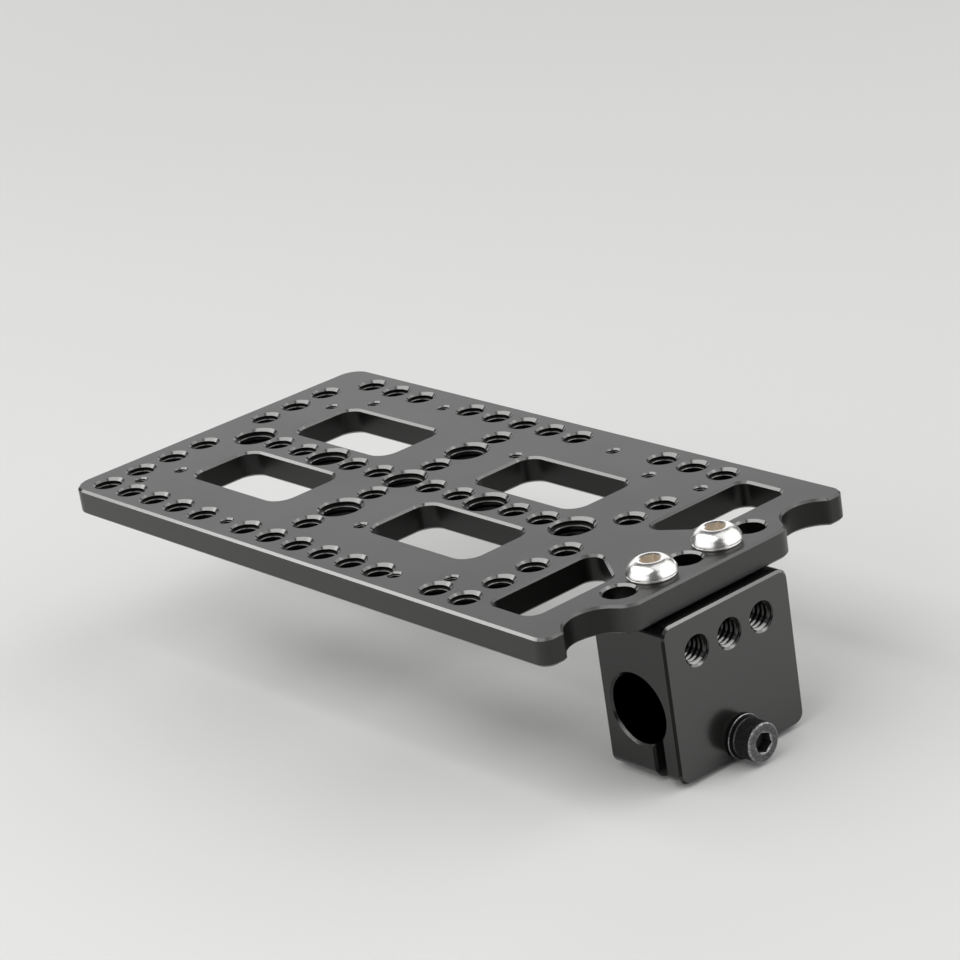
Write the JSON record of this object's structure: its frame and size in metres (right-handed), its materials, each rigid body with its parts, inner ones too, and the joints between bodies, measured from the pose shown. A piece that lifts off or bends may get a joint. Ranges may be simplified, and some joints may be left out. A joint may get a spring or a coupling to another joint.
{
  "type": "camera cheese plate",
  "caption": "Milled camera mounting plate covered in tapped holes and windows, with a slit clamp block for a support rod.",
  "frame": {"origin": "the middle of the rod bore's axis", "axes": "+X along the plate towards its clamp end, +Y along the rod, +Z out of the plate's top face"},
  "size_m": [0.1717, 0.084, 0.0446],
  "materials": {
    "black_anodised_plate": "satin black anodised",
    "black_anodised_block": "satin black anodised",
    "bright_steel": "polished stainless steel",
    "black_oxide_steel": "black oxide",
    "black_washer_steel": "black oxide with a worn rim"
  },
  "bodies": {
    "root": {"cheese_plate": "black_anodised_plate", "rod_clamp_block": "black_anodised_block", "plate_screw_front": "bright_steel", "plate_screw_rear": "bright_steel", "clamp_screw": "black_oxide_steel", "clamp_washer": "black_washer_steel"}
  },
  "joints": []
}
